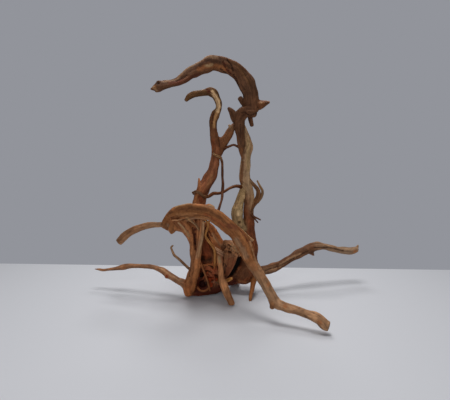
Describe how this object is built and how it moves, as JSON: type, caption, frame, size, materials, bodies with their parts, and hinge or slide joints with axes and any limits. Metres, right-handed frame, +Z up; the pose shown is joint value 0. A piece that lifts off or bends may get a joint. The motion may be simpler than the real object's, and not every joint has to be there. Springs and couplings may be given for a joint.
{
  "type": "moor wood root",
  "caption": "Branching red moor wood root on a burl, with a flattened front arch, a tall pair of trunks, hooked tips and long low side roots.",
  "frame": {"origin": "on the sawn resting flat under the burl, at the level of the surface the wood stands on", "axes": "+Z up, +X along the spread of the roots, to the right as one faces the front arch, +Y to the back, away from the arch"},
  "size_m": [0.5556, 0.219, 0.4451],
  "materials": {
    "moor_wood": "dry, peeled and lightly weathered, matt"
  },
  "bodies": {
    "root": {"moor_root": "moor_wood"}
  },
  "joints": []
}
